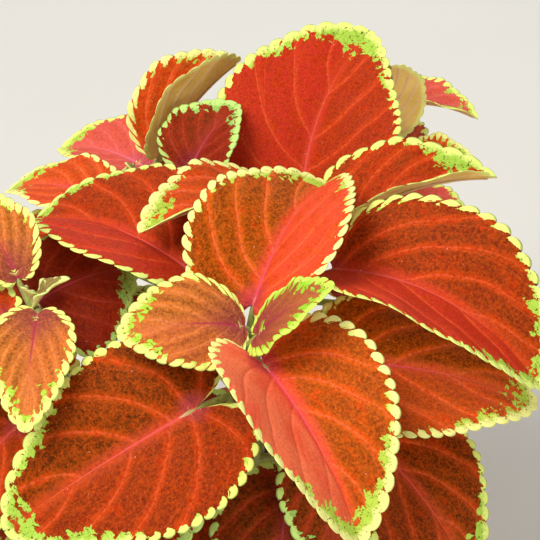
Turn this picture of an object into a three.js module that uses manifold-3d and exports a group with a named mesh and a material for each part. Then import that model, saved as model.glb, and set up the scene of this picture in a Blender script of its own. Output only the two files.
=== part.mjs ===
// Potted coleus: a plain clay pot filled with soil, five square stems and their scalloped leaves.
// Millimetres, +Z up. The origin is the middle of the pot's underside, and -Y is the front.
import * as THREE from "three";
import { mergeVertices } from "three/addons/utils/BufferGeometryUtils.js";
import Module from "manifold-3d";

const wasm = await Module();
wasm.setup();

// Pot and soil
const POT_HEIGHT = 130;
const POT_FOOT_RADIUS = 53;
const POT_TOP_RADIUS = 72;
const POT_WALL = 5;
const POT_FLOOR = 7;
const RIM_HEIGHT = 26;
const RIM_STEP = 5;
const POT_SIDES = 28;
const DRAIN_RADIUS = 5;
const DRAIN_RING = 26;
const DRAIN_HOLES = 3;
const DRAIN_SIDES = 12;
const SOIL_TOP = 116;
const SOIL_LUMP = 1.6;
const SOIL_RINGS = 3;
const SOIL_SIDES = 18;

// Stems and petioles
const STEM_RADIUS = 3.2;
const STEM_BURIED = 22;
const STEM_SIDES = 6;
const STEM_STEPS = 9;
const CROWN_HEIGHT = 8;
const PETIOLE_RADIUS = 1.7;
const PETIOLE_SIDES = 4;
const PETIOLE_STEPS = 4;

// Leaf blades
const BLADE_THICKNESS = 0.9;
const BUD_THICKNESS = 1.08;
const WIDEST = 0.43;
const TIP_DRAWN = 0.49;
const BASE_PINCHED = 0.16;
const EDGE_WAVE = 1.5;

// How deep the scallops are, as a part of the blade's length, and over which part of the edge they fade out
// towards the petiole and towards the tip
const SCALLOP_DEPTH = 0.02;
const PETIOLE_FADE = 0.06;
const TIP_FADE = 0.04;

// The side veins crowd together towards the petiole and sweep forward on their way to the edge
const VEIN_CROWDING = 3.5;
const VEIN_SWEEP = 1.2;

// Scallops along each side of a leaf, and the steps of the lines between its edge and its midrib
const LARGE_LENGTH = 85;
const LARGE_LEAF = { scallops: 15, innerSteps: 7, midribSteps: 5 };
const SMALL_LEAF = { scallops: 10, innerSteps: 5, midribSteps: 4 };
const BUD_LEAF = {
  scallops: 3, innerSteps: 2, midribSteps: 2, arch: 0.12, lobe: 0.02, left: [35, 30], right: [35, 30],
};

// Clearance between pieces that touch
const GAP = 0.3;

const SOIL_COLOUR = 0x3a2a20;
const CLAY_COLOUR = 0xb5623c;
const STEM_COLOUR = 0x8a9440;
const RED_LEAF = 0xc8442a;
const YOUNG_LEAF = 0xb0623c;
const SHADED_LEAF = 0x8a2c1c;

// A blade shorter than this is a young leaf, and a leaf that starts below this height is in the shade
const YOUNG_LENGTH = 62;
const SHADED_HEIGHT = 235;

// Each stem climbs through its points, from the soil to its growing tip. buds are its unopened tip leaves:
// the place that each one points to, and its width.
const STEMS = {
  front: {
    path: [[0, -30, SOIL_TOP], [-4, -44, 170], [-7, -55, 230], [-9, -55, 272]],
    buds: [[[-14, -54, 280], 6], [[-4, -58, 280], 6]],
  },
  middle: {
    path: [[6, 6, SOIL_TOP], [8, 18, 165], [9, 26, 215], [9, 32, 256]],
    buds: [[[0, 27, 270], 10], [[14, 42, 267], 8]],
  },
  left: {
    path: [[-42, -12, SOIL_TOP], [-66, -22, 170], [-90, -32, 230], [-101, -35, 278]],
    buds: [[[-84, -35, 293], 10], [[-105, -38, 291], 7]],
  },
  back_left: {
    path: [[-28, 34, SOIL_TOP], [-44, 58, 165], [-56, 76, 215], [-62, 86, 252]],
    buds: [[[-70, 79, 262], 9], [[-69, 88, 261], 6]],
  },
  back_right: {
    path: [[34, 36, SOIL_TOP], [52, 64, 165], [63, 84, 210], [68, 94, 246]],
    buds: [[[62, 90, 258], 9], [[75, 98, 258], 9]],
  },
};

// The leaves of each stem, from the top pair down. at is the height where the petiole leaves the stem, base
// and tip are the ends of the blade. left and right are how far each half is folded up, in degrees, at the
// midrib and at the edge. arch lifts the middle, bend swings it to the right and roll tips the right half
// down. lobe is how far the heart-shaped base reaches back, as a part of the blade's length.
const LEAVES = {
  front: [
    { at: 272, base: [-5, -70, 293], tip: [26, -71, 320], width: 40, arch: 0.05, lobe: 0.14,
      left: [0, -6], right: [12, 0] },
    { at: 268, base: [-10.5, -57, 285.5], tip: [-63, -67, 290], width: 45, lobe: 0.02, roll: -20 },
    { at: 262, base: [-7, -38, 281], tip: [26, 39, 287], width: 80, arch: 0.13, lobe: 0.12,
      roll: -5, left: [24, 30], right: [41, 16] },
    { at: 258, base: [-3.5, -79.5, 286], tip: [36, -141, 244], width: 82, bend: -0.01, lobe: 0.17,
      left: [16, 24], right: [32, 44] },
    { at: 256, base: [27, -11, 278], tip: [115, -62, 255], width: 84, arch: 0.14, bend: -0.03, lobe: 0.05,
      left: [34, 34], right: [18, 34] },
    { at: 252, base: [-35, -2, 269], tip: [-113, 52, 250], width: 84, arch: 0.14,
      left: [36, 14], right: [20, 8] },
    { at: 244, base: [-31, -82, 262], tip: [-112, -104, 212], width: 84, arch: 0.08, lobe: 0.24,
      roll: -35, left: [5, -8], right: [8, -5] },
    { at: 238, base: [22, -54, 262], tip: [115, -56, 240], width: 78, arch: 0.08,
      roll: 4, left: [12, 5], right: [0, -5] },
    { at: 228, base: [-40, -11, 240], tip: [-74, 14, 238], width: 44 },
    { at: 222, base: [35, -73, 244], tip: [87, -113, 186], width: 78 },
    { at: 214, base: [29, -74, 236], tip: [26, -109, 190], width: 50 },
    { at: 203, base: [8, -77, 212], tip: [2, -112, 150], width: 62 },
    { at: 208, base: [-32, -52, 240], tip: [-58, -110, 188], width: 60, lobe: 0.1 },
    { at: 184, base: [-38, -60, 190], tip: [-86, -116, 144], width: 66 },
    { at: 176, base: [36, -58, 186], tip: [74, -120, 142], width: 66 },
    { at: 168, base: [36, -26, 204], tip: [92, -36, 166], width: 60 },
  ],
  middle: [
    { at: 250, base: [-2, 47, 270], tip: [-57, 0, 289], width: 48, arch: 0.08,
      left: [44, 42], right: [25, 20] },
    { at: 244, base: [15, 71, 256], tip: [48, 142, 300], width: 98, arch: 0.06, bend: -0.06, lobe: 0.16,
      left: [28, 16], right: [24, 14] },
    { at: 240, base: [30, 28, 270], tip: [102, 42, 287], width: 56, arch: 0.12,
      left: [28, 24], right: [48, 40] },
    { at: 230, base: [34, 14, 238], tip: [118, 8, 214], width: 72 },
    { at: 222, base: [-2, 62, 240], tip: [-22, 144, 226], width: 76 },
  ],
  left: [
    { at: 272, base: [-98, -44, 281], tip: [-100, -97, 263], width: 37, lobe: 0.08,
      left: [12, 5], right: [12, 5] },
    { at: 273, base: [-108, -24, 284], tip: [-131, 15, 296], width: 38, arch: 0.08, lobe: 0.08,
      left: [20, 10], right: [45, 35] },
    { at: 262, base: [-112, -40, 276], tip: [-164, -48, 258], width: 46, left: [20, 10], right: [20, 10] },
    { at: 246, base: [-106, -11, 256], tip: [-60, 14, 258], width: 72, lobe: 0.1,
      left: [10, -10], right: [-10, -45] },
    { at: 236, base: [-118, -10, 246], tip: [-165, 38, 222], width: 62 },
    { at: 222, base: [-110, -48, 220], tip: [-156, -100, 178], width: 70 },
    { at: 196, base: [-100, -6, 206], tip: [-162, 12, 160], width: 68 },
    { at: 176, base: [-90, -24, 182], tip: [-146, -54, 138], width: 62 },
  ],
  back_left: [
    { at: 246, base: [-37, 75, 267], tip: [-15, 97, 289], width: 48, left: [15, 10], right: [25, 10] },
    { at: 242, base: [-54, 100, 255], tip: [-14, 137, 286], width: 54, lobe: 0.04, left: [46, 40],
      right: [76, 82] },
    { at: 236, base: [-80, 78, 247], tip: [-128, 103, 233], width: 50, left: [20, 10], right: [8, 0] },
    { at: 230, base: [-63, 117, 237], tip: [-105, 140, 231], width: 50, left: [20, 10], right: [20, 10] },
    { at: 222, base: [-84, 56, 236], tip: [-132, 85, 218], width: 40, left: [20, 10], right: [20, 10] },
    { at: 212, base: [-52, 112, 222], tip: [-84, 182, 188], width: 72 },
    { at: 200, base: [-82, 78, 208], tip: [-142, 112, 164], width: 72 },
    { at: 186, base: [-36, 88, 194], tip: [-48, 158, 146], width: 72 },
  ],
  back_right: [
    { at: 242, base: [59, 66, 252], tip: [98, 58, 238], width: 38, left: [20, 10], right: [20, 10] },
    { at: 238, base: [60, 125, 254], tip: [57, 112, 300], width: 34, left: [30, 30], right: [30, 30] },
    { at: 234, base: [75, 98, 248], tip: [100, 106, 248], width: 40, left: [20, 10], right: [20, 10] },
    { at: 224, base: [62, 152, 250], tip: [104, 146, 244], width: 36, left: [20, 10], right: [40, 30] },
    { at: 220, base: [46, 126, 230], tip: [38, 198, 200], width: 74 },
    { at: 208, base: [80, 100, 206], tip: [86, 160, 146], width: 58 },
    { at: 200, base: [84, 56, 206], tip: [140, 52, 154], width: 68 },
    { at: 186, base: [54, 84, 194], tip: [78, 150, 146], width: 70 },
  ],
};

const UP = new THREE.Vector3(0, 0, 1);
const toVector = (p) => new THREE.Vector3(...p);
const toRadians = THREE.MathUtils.degToRad;

// Half outline of a blade of length 1 and half width 1: a circle about a point on the midrib, drawn out
// to the tip and pinched in at the petiole. t runs from the petiole (0) around the edge to the tip (1).
function outline(t, lobe) {
  const middle = WIDEST - lobe;
  const turn = Math.PI * (1 - t) ** 1.15;
  const drawnOut = (1 - WIDEST - middle) * Math.exp(-((turn / TIP_DRAWN) ** 1.4));
  const pinched = (WIDEST - middle) * Math.exp(-(((Math.PI - turn) / BASE_PINCHED) ** 2));
  const radius = WIDEST + drawnOut - pinched;
  return { out: (radius * Math.sin(turn)) / WIDEST, along: middle + radius * Math.cos(turn) };
}

// A leaf's measures, with the usual values for what its row leaves out, and the frame of its midrib.
function measure(row) {
  const leaf = { arch: 0.1, bend: 0, roll: 0, lobe: 0.14, left: [10, 0], right: [10, 0], ...row };
  leaf.start = toVector(leaf.base);
  const chord = toVector(leaf.tip).sub(leaf.start);
  leaf.chord = chord.length();
  leaf.length = leaf.chord * (1 + (8 / 3) * (leaf.arch ** 2 + leaf.bend ** 2));
  leaf.ahead = chord.normalize();
  const level = UP.clone().addScaledVector(leaf.ahead, -leaf.ahead.z).normalize();
  leaf.up = level.applyAxisAngle(leaf.ahead, toRadians(leaf.roll));
  leaf.side = leaf.ahead.clone().cross(leaf.up);
  const size = leaf.length > LARGE_LENGTH ? LARGE_LEAF : SMALL_LEAF;
  return { ...size, ...leaf };
}

// The midrib at x, which is 0 at the petiole and 1 at the tip: its place, direction and upward normal.
function midribAt(leaf, x) {
  const swing = 4 * x * (1 - x);
  const slope = 4 * (1 - 2 * x);
  const place = leaf.start.clone().addScaledVector(leaf.ahead, leaf.chord * x);
  place.addScaledVector(leaf.up, leaf.chord * leaf.arch * swing);
  place.addScaledVector(leaf.side, leaf.chord * leaf.bend * swing);
  const tangent = leaf.ahead.clone().addScaledVector(leaf.up, leaf.arch * slope);
  tangent.addScaledVector(leaf.side, leaf.bend * slope).normalize();
  const across = leaf.side.clone().addScaledVector(tangent, -leaf.side.dot(tangent)).normalize();
  return { place, across, normal: across.clone().cross(tangent) };
}

// A point of the flat blade, out from the midrib and along it, bent into place, with the surface normal.
function bladePoint(leaf, hand, out, along) {
  const x = along / leaf.length;
  const { place, across, normal } = midribAt(leaf, x);
  const [start, end] = (hand > 0 ? leaf.right : leaf.left).map(toRadians);
  const half = leaf.width / 2;
  const curl = end === start ? 1e-6 : (end - start) / half;
  const angle = start + curl * out;
  const reach = (Math.sin(angle) - Math.sin(start)) / curl;
  const phase = 2.3 * x + (hand > 0 ? 0.37 : 0);
  const wave = EDGE_WAVE * (out / half) ** 2 * Math.sin(2 * Math.PI * phase) * Math.sin(Math.PI * clamp(x));
  const lift = (Math.cos(start) - Math.cos(angle)) / curl + wave;
  place.addScaledVector(across, hand * reach).addScaledVector(normal, lift);
  const facing = normal.clone().multiplyScalar(Math.cos(angle));
  return { place, facing: facing.addScaledVector(across, -hand * Math.sin(angle)) };
}

const clamp = (x) => Math.min(Math.max(x, 0), 1);

// One line of points across half a blade, at the fraction v of the way from the midrib to the edge.
// The line of constant t follows a side vein: it leaves the midrib behind the place where it meets the edge.
function edgeLine(leaf, hand, v, steps) {
  const line = [];
  for (let i = 1; i < steps; i += 1) {
    const t = i / steps;
    const { out, along } = outline(t, leaf.lobe);
    const root = t ** VEIN_CROWDING;
    const height = leaf.length * (root + (along - root) * v ** VEIN_SWEEP);
    const flat = new THREE.Vector2(out * (leaf.width / 2) * v, height);
    if (v === 1) flat.addScaledVector(outwards(leaf, t), scallop(leaf, i, steps, t));
    line.push({ t, ...bladePoint(leaf, hand, flat.x, flat.y) });
  }
  return line;
}

// The outward direction of the flat edge at t.
function outwards(leaf, t) {
  const before = outline(t - 0.01, leaf.lobe);
  const after = outline(Math.min(t + 0.01, 1), leaf.lobe);
  const runOut = (after.out - before.out) * (leaf.width / 2);
  const runAlong = (after.along - before.along) * leaf.length;
  return new THREE.Vector2(runAlong, -runOut).normalize();
}

// Every second point of the edge is the crest of a scallop and the others are the notches between them.
function scallop(leaf, i, steps, t) {
  const depth = SCALLOP_DEPTH * leaf.length * Math.min(t / PETIOLE_FADE, (1 - t) / TIP_FADE, 1);
  return depth * (i % 2 === 1 ? 0.4 : -0.6);
}

// The points of the midrib between the petiole and the tip, with the crease's normal between both halves.
function midribLine(leaf, steps) {
  const line = [];
  for (let i = 0; i <= steps; i += 1) {
    const t = Math.sqrt(i / steps);
    const along = leaf.length * t ** VEIN_CROWDING;
    const right = bladePoint(leaf, 1, 0, along);
    const left = bladePoint(leaf, -1, 0, along);
    const facing = right.facing.clone().add(left.facing).normalize();
    const spread = Math.max(facing.dot(right.facing), 0.7);
    line.push({ t, place: right.place, facing: facing.divideScalar(spread) });
  }
  return line;
}

// Joins two lines of points, which share their first and last point, into one strip of triangles.
function zip(first, second, flip, triangles) {
  let i = 0;
  let j = 0;
  while (i < first.length - 1 || j < second.length - 1) {
    const nextFirst = i < first.length - 1 ? first[i + 1].t : Infinity;
    const nextSecond = j < second.length - 1 ? second[j + 1].t : Infinity;
    const a = first[i].index;
    const b = second[j].index;
    const c = nextFirst <= nextSecond ? first[++i].index : second[++j].index;
    if (a !== b && b !== c && c !== a) triangles.push(flip ? [a, b, c] : [a, c, b]);
  }
}

// The closed blade: two faces with the same triangles, half the thickness above and below the middle
// surface, and a wall all the way around the scalloped edge.
function bladeGeometry(leaf, thickness) {
  const points = [];
  const number = (point) => Object.assign(point, { index: points.push(point) - 1 });
  const midrib = midribLine(leaf, leaf.midribSteps).map(number);
  const ends = (line) => [midrib[0], ...line.map(number), { ...midrib.at(-1), t: 1 }];
  const face = [];
  const rims = [];
  for (const hand of [1, -1]) {
    const inner = ends(edgeLine(leaf, hand, 0.5, leaf.innerSteps));
    const rim = ends(edgeLine(leaf, hand, 1, 2 * leaf.scallops));
    zip(midrib, inner, hand > 0, face);
    zip(inner, rim, hand > 0, face);
    rims.push(rim);
  }
  const count = points.length;
  const positions = [];
  for (const side of [1, -1]) {
    for (const { place, facing } of points) {
      positions.push(...place.clone().addScaledVector(facing, (side * thickness) / 2).toArray());
    }
  }
  const index = [];
  for (const [a, b, c] of face) index.push(a, b, c, count + a, count + c, count + b);
  rims.forEach((rim, k) => {
    for (let i = 0; i < rim.length - 1; i += 1) {
      const [a, b] = k === 0 ? [rim[i].index, rim[i + 1].index] : [rim[i + 1].index, rim[i].index];
      index.push(a, count + b, b, a, count + a, count + b);
    }
  });
  const geometry = new THREE.BufferGeometry();
  geometry.setAttribute("position", new THREE.Float32BufferAttribute(positions, 3));
  geometry.setIndex(index);
  return geometry;
}

// A closed manifold solid of a geometry, and a geometry of a solid.
function toSolid(geometry) {
  const bare = geometry.clone();
  bare.deleteAttribute("normal");
  bare.deleteAttribute("uv");
  const merged = mergeVertices(bare, 1e-4);
  const mesh = new wasm.Mesh({
    numProp: 3,
    vertProperties: new Float32Array(merged.attributes.position.array),
    triVerts: new Uint32Array(merged.index.array),
  });
  return new wasm.Manifold(mesh);
}

function toGeometry(solid) {
  const mesh = solid.getMesh();
  const geometry = new THREE.BufferGeometry();
  geometry.setAttribute("position", new THREE.Float32BufferAttribute(mesh.vertProperties, 3));
  geometry.setIndex([...mesh.triVerts]);
  geometry.computeVertexNormals();
  return geometry;
}

// The largest body of a solid, without the crumbs that a cut may leave.
function largest(solid) {
  return solid.decompose().sort((a, b) => b.volume() - a.volume())[0];
}

// A tube along a curve. The section is a circle of few sides, or a square with its corners taken off.
function tube(curve, radius, sides, steps) {
  const section = new THREE.Shape();
  for (let i = 0; i < sides; i += 1) {
    const angle = (2 * Math.PI * (i + 0.5)) / sides;
    section[i === 0 ? "moveTo" : "lineTo"](radius * Math.cos(angle), radius * Math.sin(angle));
  }
  section.closePath();
  return toSolid(new THREE.ExtrudeGeometry(section, { steps, bevelEnabled: false, extrudePath: curve }));
}

function stemCurve(stem) {
  const foot = toVector(stem.path[0]);
  const buried = foot.clone().setZ(SOIL_TOP - STEM_BURIED);
  return new THREE.CatmullRomCurve3([buried, ...stem.path.map(toVector)]);
}

// The middle of a stem at a height.
function stemAt(curve, height) {
  let low = 0;
  let high = 1;
  for (let i = 0; i < 24; i += 1) {
    const middle = (low + high) / 2;
    if (curve.getPoint(middle).z < height) low = middle;
    else high = middle;
  }
  return curve.getPoint(low);
}

// The petiole starts under the midrib, runs out at the blade's base and curves to the middle of its stem.
function petiole(leaf, curve) {
  const end = stemAt(curve, leaf.at);
  const under = midribAt(leaf, 0.1);
  const begin = under.place.addScaledVector(under.normal, -0.9 * PETIOLE_RADIUS);
  const out = midribAt(leaf, 0);
  const base = out.place.addScaledVector(out.normal, -0.8 * PETIOLE_RADIUS);
  const back = base.clone().sub(begin).normalize();
  const bow = 0.35 * base.distanceTo(end);
  const middle = base.clone().addScaledVector(back, bow).lerp(end, 0.35);
  const path = new THREE.CatmullRomCurve3([begin, base, middle, end]);
  return tube(path, PETIOLE_RADIUS, PETIOLE_SIDES, PETIOLE_STEPS);
}

const part = new THREE.Group();

function addPiece(name, solid, color, roughness) {
  const material = new THREE.MeshStandardMaterial({ color, roughness, metalness: 0 });
  const mesh = new THREE.Mesh(toGeometry(solid), material);
  mesh.name = name;
  part.add(mesh);
}

// A round solid from its profile, a list of radius and height.
function lathe(profile, sides) {
  const points = profile.map(([radius, z]) => new THREE.Vector2(radius, z));
  return new THREE.LatheGeometry(points, sides).rotateX(Math.PI / 2);
}

// The radius of the pot's outside at a height, without its rim band.
const outer = (z) => POT_FOOT_RADIUS + ((POT_TOP_RADIUS - POT_FOOT_RADIUS) / POT_HEIGHT) * z;

// The pot: a tapered wall with a thicker rim band, a flat floor and three drain holes around its middle.
function potSolid() {
  const bandFoot = POT_HEIGHT - RIM_HEIGHT;
  const profile = [
    [0, 0],
    [POT_FOOT_RADIUS, 0],
    [outer(bandFoot - 2), bandFoot - 2],
    [outer(bandFoot) + RIM_STEP, bandFoot],
    [outer(POT_HEIGHT) + RIM_STEP, POT_HEIGHT - 2],
    [outer(POT_HEIGHT) + RIM_STEP - 2, POT_HEIGHT],
    [outer(POT_HEIGHT) - POT_WALL, POT_HEIGHT],
    [outer(POT_FLOOR) - POT_WALL, POT_FLOOR],
    [0, POT_FLOOR],
  ];
  let pot = toSolid(lathe(profile, POT_SIDES));
  for (let i = 0; i < DRAIN_HOLES; i += 1) {
    const angle = (2 * Math.PI * (i + 0.5)) / DRAIN_HOLES;
    const drill = new THREE.CylinderGeometry(DRAIN_RADIUS, DRAIN_RADIUS, 4 * POT_FLOOR, DRAIN_SIDES);
    drill.rotateX(Math.PI / 2).translate(DRAIN_RING * Math.cos(angle), DRAIN_RING * Math.sin(angle), 0);
    pot = pot.subtract(toSolid(drill));
  }
  return pot;
}

// The soil fills the pot to a little under its rim. Its top is a lumpy disc, raised by a sum of sines.
function soilSolid() {
  const inner = (z) => outer(z) - POT_WALL - 2 * GAP;
  const shoulder = SOIL_TOP - 4;
  const profile = [[0, POT_FLOOR + GAP], [inner(POT_FLOOR), POT_FLOOR + GAP], [inner(shoulder), shoulder]];
  for (let i = SOIL_RINGS; i > 0; i -= 1) {
    profile.push([(inner(shoulder) - 0.5) * (i / SOIL_RINGS), SOIL_TOP]);
  }
  profile.push([0, SOIL_TOP]);
  const soil = lathe(profile, SOIL_SIDES);
  const spots = soil.attributes.position;
  for (let i = 0; i < spots.count; i += 1) {
    const [x, y, z] = [spots.getX(i), spots.getY(i), spots.getZ(i)];
    if (z < SOIL_TOP - 1) continue;
    const lump = Math.sin(x / 7) * Math.cos(y / 6) + Math.sin((x + y) / 4.5) * 0.6;
    spots.setZ(i, z + SOIL_LUMP * lump - (SOIL_LUMP * (x * x + y * y)) / 3600);
  }
  return toSolid(soil);
}

let soil = soilSolid();
for (const [stemName, stem] of Object.entries(STEMS)) {
  const curve = stemCurve(stem);
  let body = tube(curve, STEM_RADIUS, STEM_SIDES, STEM_STEPS);
  const sleeve = tube(curve, STEM_RADIUS + GAP, STEM_SIDES, STEM_STEPS);
  soil = soil.subtract(sleeve);
  const top = stem.path.at(-1);
  for (const [tip, width] of stem.buds) {
    const base = toVector(top).add(new THREE.Vector3(0, 0, -3)).toArray();
    const bud = measure({ base, tip, width, ...BUD_LEAF });
    body = body.add(toSolid(bladeGeometry(bud, BUD_THICKNESS)));
  }
  addPiece(`stem_${stemName}`, body, STEM_COLOUR, 0.6);
  const crownFoot = toVector(top).setZ(top[2] - 3);
  const crownTop = toVector(top).setZ(top[2] + CROWN_HEIGHT);
  const crown = tube(new THREE.LineCurve3(crownFoot, crownTop), STEM_RADIUS + GAP, STEM_SIDES, 1);
  const taken = sleeve.add(crown);
  LEAVES[stemName].forEach((row, i) => {
    const leaf = measure(row);
    const whole = toSolid(bladeGeometry(leaf, BLADE_THICKNESS)).add(petiole(leaf, curve));
    const solid = largest(whole.subtract(taken));
    const lit = leaf.length < YOUNG_LENGTH ? YOUNG_LEAF : RED_LEAF;
    const colour = leaf.at < SHADED_HEIGHT ? SHADED_LEAF : lit;
    addPiece(`${stemName}_leaf_${String(i + 1).padStart(2, "0")}`, solid, colour, 0.55);
  });
}
addPiece("soil", soil, SOIL_COLOUR, 0.95);
addPiece("pot", potSolid(), CLAY_COLOUR, 0.85);

export default part;
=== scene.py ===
# %% [markdown]
# # A potted coleus
#
# A coleus is grown for its leaves. They are red with a yellow-green scalloped edge, and sit in pairs on
# square green stems. The plain solids of this plant already say where each leaf, each stem, the soil and
# the pot are. This lesson makes a finer piece for each of them, with the same form, and gives every surface
# its colour.

import bpy
import numpy as np
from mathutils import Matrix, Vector


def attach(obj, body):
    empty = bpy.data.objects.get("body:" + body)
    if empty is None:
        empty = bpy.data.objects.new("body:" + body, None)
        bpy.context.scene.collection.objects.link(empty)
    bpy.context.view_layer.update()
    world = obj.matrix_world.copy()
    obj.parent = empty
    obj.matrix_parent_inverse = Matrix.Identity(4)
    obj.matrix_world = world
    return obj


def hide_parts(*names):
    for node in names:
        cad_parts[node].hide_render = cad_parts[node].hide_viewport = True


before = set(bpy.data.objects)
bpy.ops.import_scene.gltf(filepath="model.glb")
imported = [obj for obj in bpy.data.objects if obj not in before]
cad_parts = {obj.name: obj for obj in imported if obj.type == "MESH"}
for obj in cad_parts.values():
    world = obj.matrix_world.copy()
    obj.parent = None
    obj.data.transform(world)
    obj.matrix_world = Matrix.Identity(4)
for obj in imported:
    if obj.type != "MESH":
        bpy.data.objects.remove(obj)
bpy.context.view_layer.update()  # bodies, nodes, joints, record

# %% [markdown]
# ## Measures
#
# All shapes are worked out in millimetres, because a leaf's numbers are easy to picture that way. They become
# metres only when a mesh is made. Each random draw has its own fixed seed, so each run grows the same plant.
# The scallops' depth is a share of the blade's length.

# %% Measures in millimetres
MM = 0.001
METRE = 1000

SOIL_TOP, STEM_TOP = 116, 290
STEM_RADIUS, STEM_TAPER, STEM_SWELLING, STEM_BURIED = 3.3, 0.8, 0.7, 22
LARGE_LEAF, YOUNG_LEAF = 85, 62
SCALLOPS_LARGE, SCALLOPS_SMALL, SCALLOP_DEPTH = 22, 14, 0.02
GRID_LARGE, GRID_SMALL = (7, 20), (6, 14)  # rows to a scallop, and columns from the midrib to the rim
BLADE_THICK, EDGE_WAVE = 0.34, 1.5


# %% [markdown]
# ## Small tools for arrays
#
# A direction is a vector of length 1. A smooth step rises from 0 to 1 between two values, with no corner at
# either end. It is the usual way to let one feature fade into the next.

# %% Tools for arrays
def unit(v):
    """v divided by its length, along the last axis."""
    return v / np.maximum(np.linalg.norm(v, axis=-1, keepdims=True), 1e-9)


def smooth(x, low, high):
    """s*s*(3 - 2*s), where s goes from 0 at low to 1 at high."""
    s = np.clip((x - low) / (high - low), 0, 1)
    return s * s * (3 - 2 * s)


def ripple(x, y, size, seed, waves=7):
    """A soft uneven height from -1 to 1: the mean of sine waves of about one size in random directions."""
    draw = np.random.default_rng(seed)
    turn, shift = draw.uniform(0, 2 * np.pi, (2, waves))
    pace = 2 * np.pi / (size * draw.uniform(0.7, 1.4, waves))
    along = np.multiply.outer(x, np.cos(turn)) + np.multiply.outer(y, np.sin(turn))
    return np.sin(along * pace + shift).mean(-1) * 1.8


# %% [markdown]
# ## From arrays to a mesh
#
# Every piece here is one or more grids of points. Two neighbouring rows and columns bound a four-sided
# patch, which is cut into two triangles. Where a grid shrinks to a point, as at the tip of a leaf, one of
# the two has no area and is left out. Grids that meet along a line hold the same points there, so a weld
# joins them, and the piece is closed. The volume of a closed mesh is positive only if its faces point
# outwards.

# %% From arrays to a mesh
def grid_triangles(number):
    """The triangles of a grid of point numbers, two for each patch."""
    a, b, c, d = number[:-1, :-1], number[1:, :-1], number[1:, 1:], number[:-1, 1:]
    halves = [np.stack(corners, -1).reshape(-1, 3) for corners in ((a, b, c), (a, c, d))]
    return np.concatenate(halves)


def has_area(triangles):
    """True for each triangle whose three corners are still three points."""
    a, b, c = triangles.T
    return (a != b) & (b != c) & (c != a)


def weld(points, triangles, values):
    """Makes points at the same place one point, and drops the triangles that have lost their area."""
    _, first, same = np.unique(np.round(points, 4), axis=0, return_index=True, return_inverse=True)
    triangles = same.ravel()[triangles]
    kept = has_area(triangles)
    return points[first], triangles[kept], {name: v[first] for name, v in values.items()}, kept


def turned(x, y, z):
    """A closed mesh out of rings of points about the upright axis. The first and the last ring shrink to a
    point, and the last point of each ring is its first."""
    x[[0, -1]] = y[[0, -1]] = 0
    for q in (x, y, z):
        q[:, -1] = q[:, 0]
    triangles = grid_triangles(np.arange(x.size).reshape(x.shape))
    points, triangles, _, _ = weld(np.stack([x, y, z], -1).reshape(-1, 3), triangles, {})
    return points, triangles


def volume(points, triangles):
    """A sixth of the sum of a . (b x c) over all triangles."""
    a, b, c = points[triangles.T]
    return (a * np.cross(b, c)).sum() / 6


def make_piece(name, parts, finishes, nodes=()):
    """One object out of closed parts. Each part is (points, triangles, values at the points, finish number,
    places of the triangles' corners on the flat map that a baked picture would use, or None for no map)."""
    points, triangles, values, finish, places = [], [], {}, [], []
    start = 0
    for part_points, part_triangles, part_values, number, corners in parts:
        if volume(part_points, part_triangles) < 0:
            part_triangles = part_triangles[:, ::-1]
            corners = None if corners is None else corners[:, ::-1]
        points.append(part_points)
        triangles.append(part_triangles + start)
        finish.append(np.full(len(part_triangles), number))
        places.append(corners)
        for key, value in part_values.items():
            values.setdefault(key, []).append((start, value))
        start += len(part_points)
    points, triangles = np.concatenate(points), np.concatenate(triangles)
    mesh = bpy.data.meshes.new(name)
    mesh.from_pydata((points * MM).tolist(), [], triangles.tolist(), shade_flat=False)
    mesh.polygons.foreach_set("material_index", np.concatenate(finish).astype(np.int32))
    for key, pieces in values.items():
        width = 3 if pieces[0][1].ndim > 1 else 1
        whole = np.zeros((start, width), np.float32)
        for at, value in pieces:
            whole[at : at + len(value)] = np.reshape(value, (-1, width))
        layer = mesh.attributes.new(key, "FLOAT_VECTOR" if width == 3 else "FLOAT", "POINT")
        layer.data.foreach_set("vector" if width == 3 else "value", whole.ravel())
    if places[0] is not None:
        layer = mesh.uv_layers.new(name="OFBake")
        layer.data.foreach_set("uv", np.concatenate(places).astype(np.float32).ravel())
    for finish_used in finishes:
        mesh.materials.append(finish_used)
    piece = bpy.data.objects.new(name, mesh)
    bpy.context.scene.collection.objects.link(piece)
    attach(piece, "root")
    if nodes:
        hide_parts(*nodes)
    return piece


# %% [markdown]
# ## Paths and tubes
#
# Stems and petioles are tubes. A path runs smoothly through a few points, and a section is carried along it.
# The section must not spin on its way, so each ring takes over the direction of the ring before and only
# takes out what has come to point along the path.

# %% Paths and tubes
def path_through(points, steps):
    """A centripetal Catmull-Rom spline: between two points, the cubic whose slopes at its ends come from the
    neighbours, weighted by the square roots of their distances. It has steps parts to each span."""
    p = np.array(points, float)
    p = np.vstack([2 * p[0] - p[1], p, 2 * p[-1] - p[-2]])
    d = np.sqrt(np.linalg.norm(np.diff(p, axis=0), axis=1))[:, None]
    p0, p1, p2, p3 = p[:-3], p[1:-2], p[2:-1], p[3:]
    d0, d1, d2 = d[:-2], d[1:-1], d[2:]
    leave = d1 * ((p1 - p0) / d0 - (p2 - p0) / (d0 + d1) + (p2 - p1) / d1)
    arrive = d1 * ((p2 - p1) / d1 - (p3 - p1) / (d1 + d2) + (p3 - p2) / d2)
    s = (np.arange(steps) / steps)[None, :, None]
    p1, p2, leave, arrive = (x[:, None] for x in (p1, p2, leave, arrive))
    bend = (3 * (p2 - p1) - 2 * leave - arrive) * s**2
    cubic = p1 + leave * s + bend + (2 * (p1 - p2) + leave + arrive) * s**3
    return np.vstack([cubic.reshape(-1, 3), p[-2]])


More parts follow.
